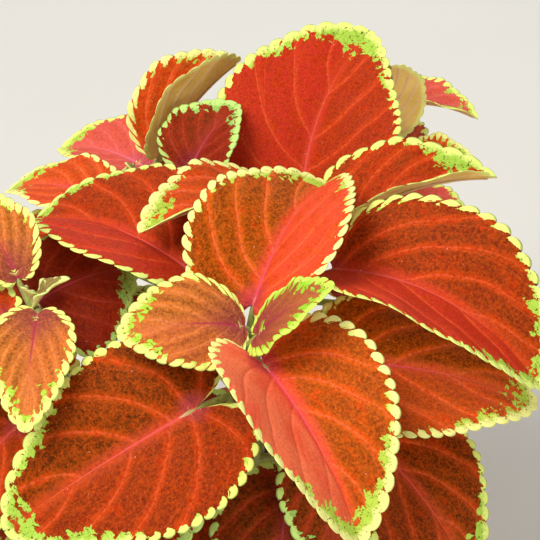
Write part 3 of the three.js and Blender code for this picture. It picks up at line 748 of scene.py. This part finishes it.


# %% [markdown]
# ## The whole leaf
#
# Uneven fields of several sizes break up every colour. Red and brown tissue comes first, then orange near the
# veins, the grain, the midrib and the edge. The lower face is pale, with raised veins; its brightness is
# partly its own colour and partly painted light that shines through the leaf.

# %% The leaf's finish
def leaf_finish(name, look):
    """The colours of one kind of leaf, from its row of colours."""
    c = {key: colour(code) for key, code in look.items() if isinstance(code, str)}
    finish, start, shader = new_finish(name, Specular_IOR_Level=0.1, Specular_Tint=(1, 0.7, 0.4, 1))
    flat, v = start.read("flat"), start.read("out", "Fac")
    vein, rim, tone = (start.read(key).parts() for key in ("vein", "rim", "tone"))
    inside, _, t = rim
    rosy_and_sheen, mottle, under = tone

    # The streaks are drawn out along the side veins
    grain, fleck, cloud = flat.noise(0.9, 4, 0.75), flat.noise(2.4, 4, 0.7), flat.noise(16, 3, 0.55)
    blot = flat.noise(6, 4, 0.65)
    streak = start.joined(vein[0] * 3.2, v * 5.5, flat.parts()[2] * 90).noise(METRE, 4, 0.65)
    speckle = cloud * 0.14 + blot * 0.22 + streak * 0.36 + fleck * 0.18 + grain * 0.1
    bent = flat.shifted(flat.noise(5, 2, output=1).scaled(3 * MM, 3 * MM, 0))
    net = bent.cells(3.0).fall(0.0, 0.22)
    lines, glow, forks, middle, middle_glow, rungs = vein_lines(flat, v, t, vein, streak)
    near = glow.math("MAXIMUM", glow, middle_glow)

    # Red and brown tissue, orange near the veins, and all of it grainy
    brown = (speckle + (mottle - 0.5) * 0.13 - near * 0.07 - rosy_and_sheen * 0.03).rise(0.42, 0.55)
    top = brown.mix(c["red"], c["brown"])
    shade = fleck * 0.32 + streak * 0.36 + flat.noise(1.2, 4, 0.8) * 0.32
    shade = (shade + mottle * 0.05 - near * 0.05).rise(0.46, 0.62)
    top = (shade * (0.45 + 0.4 * mottle)).mix(top, c["dark"])
    top = (near * look["veins"] * fleck.rise(0.3, 0.62)).mix(top, c["orange"])
    top = ((net * 0.3 + rungs * 0.2) * (0.3 + grain)).mix(top, c["orange"])
    flesh = blot * 0.35 + streak * 0.3 + fleck * 0.35
    # The pink wash is partly the leaf's own colour and partly painted sheen; past a full share it turns pale
    # salmon.
    top = (rosy_and_sheen * (0.25 + 0.75 * flesh.rise(0.4, 0.56))).mix(top, c["rosy_and_sheen"])
    top = (rosy_and_sheen.rise(1.0, 1.8) * (0.35 + 0.6 * cloud.rise(0.3, 0.6))).mix(top, c["vein"])
    top = ((lines * 0.8 + forks * 0.4) * (look["veins"] * fleck.rise(0.25, 0.6))).mix(top, c["vein"])

    # The flush at the midrib's root, fine grain, the midrib itself, the edge, and painted glints on the hairs
    root = start.node("ShaderNodeVectorMath", {"operation": "LENGTH"}, {0: flat.scaled(1, 1, 0)}, 1)
    root = (root + (cloud - 0.5) * (12 * MM)).fall(1.5 * MM, look["flush"] * MM)
    top = (root * (0.45 + grain * 0.6)).mix(top, c["root"])
    salt, pepper = flat.noise(0.9, 3, 0.8), flat.noise(1.3, 4, 0.8)
    top = (salt.rise(0.48, 0.64) * 0.45).mix(top, c["orange"])
    top = (pepper.fall(0.38, 0.52) * (0.2 + 0.3 * mottle)).mix(top, c["dark"])
    stripe = t.rise(0.72, 0.97).mix(c["midrib"], c["vein"])
    top = (middle * (0.7 - 0.35 * t.rise(0.8, 1.0)) + middle_glow * 0.15).mix(top, stripe)
    edge, band, outer = edge_beads(flat, v, rim, fleck, bent, look, c)
    top = band.mix(top, edge)
    painted_glints = flat.cells(4, "F1").fall(0.03, 0.05) * flat.cells(4, "F1", "Color").parts()[0].rise(0.66, 0.68)
    top = (painted_glints * 0.8).mix(top, colour("ffeedc"))

    # The lower face: pale, partly its own colour and partly painted light shining through the leaf
    below = (cloud * 0.7 + fleck * 0.3).rise(0.35, 0.65).mix(c["under"], c["olive"])
    below = (glow * 0.3 + net * 0.2 + lines * 0.4).mix(below, colour("ecc49a"))
    below = (inside.fall(1.2 * MM, 3.4 * MM) * outer).mix(below, colour("f0ec88"))
    rough = 0.46 + 0.24 * grain + 0.08 * under - 0.15 * painted_glints
    height = grain * 0.12 + fleck * 0.14 - net * 0.04 - rungs * 0.04 - lines * 0.08 - middle * 0.12
    height = height + under * 0.1 * (lines + net)
    plug(start, shader, Base_Color=under.mix(top, below), Roughness=rough, height=height)
    return finish


LEAF_FINISHES = {key: leaf_finish(key + " leaf", look) for key, look in LOOKS.items()}
print("leaf finishes:", len(LEAF_FINISHES), "with", len(LEAF_FINISHES["full"].node_tree.nodes), "nodes each")

# %% [markdown]
# ## Stalks
#
# Stems and petioles are green with a flush of red, streaked along their length and covered in soft hairs. The
# petiole runs on below the blade as the midrib, where it turns the pale colour of the leaf's underside.

# %% The stalk finish
def stalk_finish(name, green, olive, flush, pale):
    finish, start, shader = new_finish(name, Specular_IOR_Level=0.4, Sheen_Weight=0.25, Sheen_Roughness=0.4)
    along, around, midrib = start.read("stalk").parts()
    place = start.joined(along * 0.35, around * (0.9 * MM), midrib * 0.01)
    streak, fine = place.noise(1.1, 4, 0.65), place.noise(0.5, 3)
    where = start.place()
    cloud = where.noise(9, 3)
    skin = streak.rise(0.35, 0.65).mix(colour(green), colour(olive))
    skin = (cloud.rise(0.5, 0.75) * 0.6).mix(skin, colour(flush))
    skin = (midrib * 0.85).mix(skin, colour(pale))
    height = streak * 0.12 + fine * 0.05
    plug(start, shader, Base_Color=skin, Roughness=0.4 + 0.25 * fine, height=height)
    return finish


STALK = stalk_finish("green stalk", "9aa548", "7c8434", "a0603c", "e4b48c")
HAIR = stalk_finish("pale hair", "e6ead0", "d4dcb4", "e0c8b0", "f0e8d8")


# %% [markdown]
# ## Stems
#
# A coleus stem is square with rounded corners, and a little swollen at each joint, where two leaves face each
# other. The path of a stem is kept, because every petiole ends on it.

# %% Stem paths and tubes
def stem_path(points):
    """The path of a stem starts below its first point, in the soil."""
    return path_through([(*points[0][:2], SOIL_TOP - STEM_BURIED), *points], steps=24)


PATHS = {name: stem_path(points) for name, points in STEMS.items()}


def on_stem(path, height):
    """The middle of a stem at a height, between the two nearest points of its path."""
    return np.array([np.interp(height, path[:, 2], path[:, k]) for k in range(3)])


def stem_tube(name):
    """The radius tapers from the soil to the top, and swells at a joint by exp(-((z - joint)/2.2)**2)."""
    path = PATHS[name]
    z = path[:, 2:]
    joints = np.array([row["at"] for row in LEAVES[name]])
    swollen = STEM_SWELLING * np.exp(-(((z - joints) / 2.2) ** 2)).max(1)
    radius = STEM_RADIUS - STEM_TAPER * smooth(z[:, 0], SOIL_TOP, STEM_TOP) + swollen
    return tube(path, radius, sides=24, corner=3.6)


STEM_HAIR, BUD_HAIR, PETIOLE_HAIR = (0.16, 0.9), (0.12, 0.8), (0.25, 0.7)  # share of points, length


def with_hair(points, outwards, share, length, seed):
    """Soft hairs on a share of some points. A hair is a bent spike with three sides: rings of three points at
    the root and half way, and one point at the tip, which falls over to one side."""
    draw = np.random.default_rng(seed)
    chosen = draw.choice(len(points), int(share * len(points)), replace=False)
    root, away = points[chosen], outwards[chosen]
    lean = unit(away + 0.55 * draw.normal(size=away.shape))
    tall = length * draw.uniform(0.5, 1.2, (len(root), 1))
    across = unit(np.cross(lean, draw.normal(size=away.shape)))
    other = np.cross(lean, across)
    w = 2 * np.pi * np.arange(3) / 3
    ring = np.cos(w)[:, None] * across[:, None] + np.sin(w)[:, None] * other[:, None]
    low = root[:, None] - 0.1 * lean[:, None] + 0.07 * ring
    middle = (root + 0.55 * tall * lean)[:, None] + 0.05 * ring
    tip = root + tall * unit(lean + 0.3 * across)
    points = np.concatenate([low, middle, tip[:, None]], 1)
    one = [(0, 2, 1)]
    for k in range(3):
        n = (k + 1) % 3
        one += [(k, n, 3 + n), (k, 3 + n, 3 + k), (3 + k, 3 + n, 6)]
    triangles = (7 * np.arange(len(root))[:, None, None] + np.array(one)).reshape(-1, 3)
    return points.reshape(-1, 3), triangles


def stalk_values(place, midrib=0.0):
    return {"stalk": np.stack([place[:, 0] * MM, place[:, 1], np.broadcast_to(midrib, len(place))], -1)}


# %% [markdown]
# ## Growing tips
#
# Each stem ends in a few unopened leaves, pale and hairy. They are blades like the others, but small, thick
# and folded up. Together with their stem they are one piece.

# %% Stems with their tips
stem_pieces, hair_roots = {}, {name: [] for name in STEMS}
for order, (name, buds) in enumerate(BUDS.items()):
    points, triangles, outwards, place, corners = stem_tube(name)
    parts = [(points, triangles, stalk_values(place), 0, corners * (0.2, 1))]
    hair_roots[name].append((points[: len(outwards)], outwards, STEM_HAIR))
    top = np.array(STEMS[name][-1], float)
    for k, (tip, width) in enumerate(buds):
        row = leaf(top[2], tuple(top - (0, 0, 3)), tip, width, "bud", (0.3, 0.2), (0.4, 0.5), (35, 30),
                   arch=0.12, lobe=0.02, scallops=5, thick=0.5)
        bud = prepare(row, 60 + 2 * order + k)
        points, triangles, values, corners = blade(bud, fine=8, columns=10)
        parts.append((points, triangles, values, 1, corners * (0.4, 1) + (0.2 + 0.4 * k, 0)))
        facing = unit(points - top - (0, 0, 6))
        hair_roots[name].append((points, facing, BUD_HAIR))
    finishes = [STALK, LEAF_FINISHES["bud"]]
    stem_pieces[name] = make_piece("coleus_stem_" + name, parts, finishes, ["stem_" + name])
print("stems:", {name: len(piece.data.polygons) for name, piece in stem_pieces.items()})

# %% [markdown]
# ## Leaves
#
# A leaf is its blade and one tube. The tube leaves the stem, bends up to the base of the blade and runs on
# below it as the midrib, thinner and thinner, to the tip.

# %% Leaves
STALK_SIDES = 12


def stalk_of(leaf, stem):
    """The petiole's path ends at the stem's middle. It comes from under the base of the blade in line with
    the midrib, and a third of the way to the stem it is still near that line."""
    x = np.array([0.0, 0.1, 0.25, 0.4, 0.55, 0.7, 0.84, 0.95])
    place, facing = bend_half({**leaf, "right": (0, 0)}, 0 * x, x * leaf["length"], 1)
    thin = np.interp(x, [0, 0.1, 0.5, 1], [1.55, 1.3, 0.75, 0.28]) * min(1, leaf["length"] / 70)
    under = place - facing * (thin + np.array([-0.2, 0.1] + [0.22] * 6))[:, None]
    end = on_stem(stem, leaf["at"])
    back = unit(under[0] - under[1])
    middle = (under[0] + back * 0.35 * np.linalg.norm(under[0] - end)) * 0.65 + end * 0.35
    path = path_through([end, middle, *under], steps=7)
    step = len(path) - 1
    share = np.arange(step + 1) / step * (len(under) + 1)
    radius = np.interp(share, np.arange(len(under) + 2), [2.1, 1.6, *thin])
    points, triangles, outwards, place, corners = tube(path, radius, STALK_SIDES, corner=2.4)
    midrib = np.concatenate([np.repeat(smooth(share, 1.6, 3.2), STALK_SIDES), [0, 1]])
    petiole = np.repeat(share < 2.2, STALK_SIDES)
    return points, triangles, outwards, place, midrib, petiole, corners


leaf_pieces = {}
number = 0
for stem, rows in LEAVES.items():
    for k, row in enumerate(rows):
        number += 1
        one = prepare(row, number)
        grid = GRID_LARGE if one["length"] > LARGE_LEAF else GRID_SMALL
        points, triangles, values, corners = blade(one, *grid)
        stalk, stalk_faces, outwards, place, midrib, petiole, strip = stalk_of(one, PATHS[stem])
        name = f"{stem}_leaf_{k + 1:02d}"
        parts = [(points, triangles, values, 0, corners),
                 (stalk, stalk_faces, stalk_values(place, midrib), 1, strip * (0.05, 0.98) + (0.605, 0.01))]
        finishes = [LEAF_FINISHES[row["look"]], STALK]
        kind = "young_leaf" if one["length"] < YOUNG_LEAF else "leaf"
        leaf_pieces[name] = make_piece("coleus_" + name, parts, finishes, [name])
        hair_roots[stem].append((stalk[: len(outwards)][petiole], outwards[petiole], PETIOLE_HAIR))
print("leaves:", len(leaf_pieces), "triangles:", sum(len(p.data.polygons) for p in leaf_pieces.values()))

# %% [markdown]
# ## Hairs
#
# The hairs are too fine to see one by one from a distance, but they soften the outline of the stalks and
# catch the light. A hair is ten triangles. The hairs of one stem and its petioles are one piece.

# %% Hairs
hair_pieces = {}
for order, (name, groups) in enumerate(hair_roots.items()):
    parts = []
    for k, (points, outwards, (share, length)) in enumerate(groups):
        hair, faces = with_hair(points, outwards, share, length, seed=100 * order + k)
        values = stalk_values(np.stack([0.3 * np.arange(len(hair)), hair[:, 0]], -1))
        parts.append((hair, faces, values, 0, None))
    hair_pieces[name] = make_piece("coleus_hairs_" + name, parts, [HAIR])
print("hair triangles:", sum(len(p.data.polygons) for p in hair_pieces.values()))

# %% [markdown]
# ## Soil
#
# The pot is filled to a little under its rim. The soil's top is a lumpy disc, and on it lie loose crumbs of
# peat and bark and a few white grains of perlite. A crumb is a squashed ball of twenty faces.

# %% Soil
POT_FOOT, POT_TOP, POT_HIGH, POT_WALL, POT_FLOOR = 53, 72, 130, 5, 7


def wall_radius(z):
    """The outer radius of the pot's wall grows evenly from the foot to the top."""
    return POT_FOOT + (POT_TOP - POT_FOOT) / POT_HIGH * z


def soil_height(x, y):
    """Wide lumps of 1.6 mm and small ones of about 0.5 mm over the even top."""
    lump = np.sin(x / 7) * np.cos(y / 6) + 0.6 * np.sin((x + y) / 4.5)
    wide = 1.6 * lump - 1.6 * (x * x + y * y) / 3600
    return SOIL_TOP + wide * 0.8 + 0.5 * ripple(x, y, 5, 3) + 0.35 * ripple(x, y, 2.4, 4, 12)


soil_finish, start, shader = new_finish("potting soil", Specular_IOR_Level=0.25)
where = start.place()
coarse, fine, damp = where.noise(3, 5, 0.7), where.noise(0.8, 3, 0.7), where.noise(22, 2)
earth = coarse.rise(0.35, 0.65).mix(colour("241610"), colour("4a3324"))
earth = (fine.rise(0.6, 0.75) * 0.6).mix(earth, colour("6e5038"))
earth = (damp.rise(0.45, 0.65) * 0.4).mix(earth, colour("1c120c"))
plug(start, shader, Base_Color=earth, Roughness=0.75 + 0.2 * fine, height=coarse * 0.8 + fine * 0.5)

perlite_finish, start, shader = new_finish("perlite", Specular_IOR_Level=0.3)
where = start.place()
pore = where.noise(0.6, 3, 0.7)
grain = pore.rise(0.4, 0.6).mix(colour("e8e2d4"), colour("c0b49c"))
plug(start, shader, Base_Color=grain, Roughness=0.7 + 0.2 * pore, height=pore * 0.25)

SOIL_ROOM, SOIL_EDGE = 0.6, SOIL_TOP - 4  # between soil and wall, and the height of the soil's edge
fill = wall_radius(SOIL_EDGE) - POT_WALL - SOIL_ROOM
foot = wall_radius(POT_FLOOR) - POT_WALL - SOIL_ROOM
rings = np.concatenate([np.linspace(0.001, 1, 70) * (fill - 0.5), [fill, foot, 0.001]])
w = np.linspace(0, 2 * np.pi, 129)
x, y = np.outer(rings, np.cos(w)), np.outer(rings, np.sin(w))
z = soil_height(x, y)
z[-3:] = np.array([SOIL_EDGE, POT_FLOOR + 0.3, POT_FLOOR + 0.3])[:, None]
z[0] = soil_height(0.0, 0.0)
points, faces = turned(x, y, z)
flat_map = points[faces][..., :2] / 160 + 0.5
soil = make_piece("potting_soil", [(points, faces, {}, 0, flat_map)], [soil_finish], ["soil"])


def crumbs(count, small, large, seed):
    """Twelve corners of an icosahedron each, squashed, turned and pushed about by chance."""
    draw = np.random.default_rng(seed)
    g = (1 + 5**0.5) / 2
    ball = unit(np.array([(-1, g, 0), (1, g, 0), (-1, -g, 0), (1, -g, 0), (0, -1, g), (0, 1, g), (0, -1, -g),
                          (0, 1, -g), (g, 0, -1), (g, 0, 1), (-g, 0, -1), (-g, 0, 1)]))
    faces = np.array([(0, 11, 5), (0, 5, 1), (0, 1, 7), (0, 7, 10), (0, 10, 11), (1, 5, 9), (5, 11, 4),
                      (11, 10, 2), (10, 7, 6), (7, 1, 8), (3, 9, 4), (3, 4, 2), (3, 2, 6), (3, 6, 8),
                      (3, 8, 9), (4, 9, 5), (2, 4, 11), (6, 2, 10), (8, 6, 7), (9, 8, 1)])
    radius, turn = (fill - 3) * np.sqrt(draw.uniform(0, 1, count)), draw.uniform(0, 2 * np.pi, count)
    middle = np.stack([radius * np.cos(turn), radius * np.sin(turn)], -1)
    size = draw.uniform(small, large, (count, 1, 1)) * draw.uniform(0.5, 1.1, (count, 1, 3))
    shape = (ball * (1 + draw.uniform(-0.22, 0.22, (count, 12, 1)))) * size
    c, s = np.cos(turn)[:, None], np.sin(turn)[:, None]
    x, y = c * shape[..., 0] - s * shape[..., 1], s * shape[..., 0] + c * shape[..., 1]
    shape[..., 0], shape[..., 1] = x, y
    base = np.stack([middle[:, 0], middle[:, 1], soil_height(middle[:, 0], middle[:, 1])], -1)
    points = shape + base[:, None] + (0, 0, 0.25) * size[:, :, 2:]
    triangles = (12 * np.arange(count)[:, None, None] + faces).reshape(-1, 3)
    return points.reshape(-1, 3), triangles, {}, 0, None


peat_crumbs = crumbs(count=1300, small=0.5, large=1.9, seed=11)
peat = make_piece("soil_crumbs", [peat_crumbs], [soil_finish])
perlite_crumbs = crumbs(count=90, small=0.5, large=1.5, seed=12)
perlite = make_piece("perlite_grains", [perlite_crumbs], [perlite_finish])
print("soil triangles:", len(soil.data.polygons) + len(peat.data.polygons) + len(perlite.data.polygons))

# %% [markdown]
# ## The clay pot
#
# A clay pot is thrown on a wheel, so it is a profile turned about its axis. The corners of the profile are
# rounded, the wall keeps faint rings of the potter's fingers, and three holes go through the floor. The clay
# is dusty and paler where lime has come through it, and darker where it is damp.

# %% The clay pot
def rounded(profile, radii, steps=6):
    """Each corner of the profile becomes a quadratic curve between the points radius before and after it."""
    p, r = np.array(profile, float), np.array(radii, float)[:, None]
    before, after = unit(np.roll(p, 1, 0) - p), unit(np.roll(p, -1, 0) - p)
    s = np.linspace(0, 1, steps)[None, :, None]
    start, end, p = (q[:, None] for q in (p + r * before, p + r * after, p))
    return (start * (1 - s) ** 2 + 2 * p * s * (1 - s) + end * s**2).reshape(-1, 2)


def spaced(line, most):
    """The same line with more points, so that no step is longer than most."""
    length = np.concatenate([[0], np.cumsum(np.linalg.norm(np.diff(line, axis=0), axis=1))])
    length, kept = np.unique(np.round(length, 6), return_index=True)
    spans = zip(length, length[1:])
    extra = [np.linspace(a, b, int(np.ceil((b - a) / most)), endpoint=False) for a, b in spans]
    at = np.append(np.concatenate(extra), length[-1])
    return np.stack([np.interp(at, length, line[kept, k]) for k in range(2)], -1)


BAND_HIGH, BAND_PROUD = 26, 5
band = POT_HIGH - BAND_HIGH
corners = [(0, 0), (POT_FOOT, 0), (wall_radius(band - 2), band - 2), (wall_radius(band) + BAND_PROUD, band),
           (wall_radius(POT_HIGH) + BAND_PROUD, POT_HIGH), (wall_radius(POT_HIGH) - POT_WALL, POT_HIGH),
           (wall_radius(POT_FLOOR) - POT_WALL, POT_FLOOR), (0, POT_FLOOR)]
line = spaced(rounded(corners, radii=[0, 1.5, 1.5, 1.6, 2.2, 2.0, 4.0, 0]), most=1.6)
w = np.linspace(0, 2 * np.pi, 109)
radius, height = line[:, :1], line[:, 1:]
wall = wall_radius(height)
outer = smooth(radius, wall - 2, wall - 1) * smooth(height, 3, 8) * (height < band - 3)
wide, narrow = np.sin(height * 1.35 + 0.4 * np.sin(w)), np.sin(height * 2.9 + 1.3 * np.cos(2 * w))
thrown = 0.14 * outer * (wide + 0.6 * narrow)
uneven = radius + thrown + 0.12 * smooth(height, 2, 20) * np.sin(2 * w + 0.03 * height) * (radius > 1)
x, y, z = uneven * np.cos(w), uneven * np.sin(w), np.broadcast_to(height, uneven.shape).copy()
points, faces = turned(x, y, z)

clay_finish, start, shader = new_finish("fired clay", Specular_IOR_Level=0.3)
where = start.place()
_, _, up = where.parts()
level = where.scaled(1, 1, 4)
cloud, grit, ring = where.noise(28, 4, 0.6), where.noise(0.7, 4, 0.75), level.noise(9, 3)
bloom = (cloud * 0.8 + ring * 0.14 + grit * 0.06).rise(0.46, 0.66)
clay = (ring * 0.35 + cloud * 0.25 + grit * 0.4).rise(0.35, 0.65).mix(colour("b2623e"), colour("c47850"))
clay = (bloom * up.rise(0.02, 0.1) * 0.5 + up.fall(0.0, 0.02) * 0.3).mix(clay, colour("d8b49a"))
clay = (where.noise(16, 3).rise(0.56, 0.7) * 0.45).mix(clay, colour("8e4a30"))
clay = (where.cells(4.5, "F1").fall(0.05, 0.16) * 0.5).mix(clay, colour("8a4c34"))
plug(start, shader, Base_Color=clay, Roughness=0.72 + 0.2 * grit, height=grit * 0.22 + ring * 0.14)

pot = make_piece("clay_pot", [(points, faces, {}, 0, None)], [clay_finish], ["pot"])
DRAIN_HOLES, DRAIN_PLACE, DRAIN_RADIUS = 3, 26, 5.0
for k in range(DRAIN_HOLES):
    turn = 2 * np.pi * (k + 0.5) / DRAIN_HOLES
    spot = DRAIN_PLACE * np.array([np.cos(turn), np.sin(turn), 0])
    axis = spot + np.array([[0, 0, z] for z in (-8.0, 3, 6, 20)])
    drill, drill_faces, *_ = tube(axis, np.full(4, DRAIN_RADIUS), sides=40)
    bit = bpy.data.meshes.new("drill")
    bit.from_pydata((drill * MM).tolist(), [], drill_faces.tolist())
    if volume(drill, drill_faces) < 0:
        bit.flip_normals()
    cutter = bpy.data.objects.new("drill", bit)
    bpy.context.scene.collection.objects.link(cutter)
    cut = pot.modifiers.new("drain hole", "BOOLEAN")
    cut.operation, cut.solver, cut.object = "DIFFERENCE", "EXACT", cutter
    holed = bpy.data.meshes.new_from_object(pot.evaluated_get(bpy.context.evaluated_depsgraph_get()))
    pot.modifiers.clear()
    pot.data = holed
    bpy.data.objects.remove(cutter)
print("pot triangles:", sum(len(f.vertices) - 2 for f in pot.data.polygons))

# %% [markdown]
# ## Floor, light and camera
#
# The plant stands on a pale floor in soft light: a strong lamp high on the left, a wide one low in front on
# the right, a faint one behind and an even sky. The wide lamp stands far off, so that the line where its
# light ends on the floor is out of sight. The camera looks down at 40 degrees, through a long lens, at the
# young leaves.

# %% Floor
floor_mesh = bpy.data.meshes.new("floor")
floor_mesh.from_pydata([(-4, -4, 0), (4, -4, 0), (4, 4, 0), (-4, 4, 0)], [], [(0, 1, 2, 3)])
floor = bpy.data.objects.new("floor", floor_mesh)
bpy.context.scene.collection.objects.link(floor)
floor_finish, start, shader = new_finish("pale floor", Specular_IOR_Level=0.2)
where = start.place()
pale = where.noise(240, 3).mix(colour("dedad2"), colour("e6e3dc"))
plug(start, shader, Base_Color=pale, Roughness=0.8 + 0.1 * where.noise(30))
floor_mesh.materials.append(floor_finish)


# %% Light
def soft_lamp(name, place, target, size, power, tint):
    """A square lamp of that size, in metres, turned to a place."""
    light = bpy.data.lights.new(name, "AREA")
    light.size, light.energy, light.color = size, power, tint
    lamp = bpy.data.objects.new(name, light)
    bpy.context.scene.collection.objects.link(lamp)
    lamp.location = place
    lamp.rotation_euler = (Vector(target) - Vector(place)).to_track_quat("-Z", "Y").to_euler()


AIM = (0, 0, 0.25)
soft_lamp("key", (-0.6, -0.3, 1.5), AIM, size=0.8, power=21, tint=(1, 0.98, 0.93))
soft_lamp("fill", (1.6, -2.8, 0.75), AIM, size=2.0, power=44, tint=(1, 0.97, 0.9))
soft_lamp("back", (0.3, 1.3, 1.0), AIM, size=0.9, power=5, tint=(1, 1, 1))
world = bpy.data.worlds.new("even sky")
world.use_nodes = True
world.node_tree.nodes["Background"].inputs["Color"].default_value = (0.93, 0.96, 1, 1)
world.node_tree.nodes["Background"].inputs["Strength"].default_value = 0.4
bpy.context.scene.world = world
bpy.context.scene.view_settings.view_transform = "Standard"

# %% Camera
camera = bpy.data.objects.new("camera", bpy.data.cameras.new("camera"))
bpy.context.scene.collection.objects.link(camera)
look_at, away = Vector((0, -0.040, 0.302)), 0.9
tilt = np.radians(40)
camera.location = look_at + away * Vector((0, -np.cos(tilt), np.sin(tilt)))
camera.rotation_euler = (look_at - camera.location).to_track_quat("-Z", "Y").to_euler()
camera.data.sensor_width, camera.data.lens = 36, 144
bpy.context.scene.camera = camera
print("camera at", [round(x, 3) for x in camera.location])
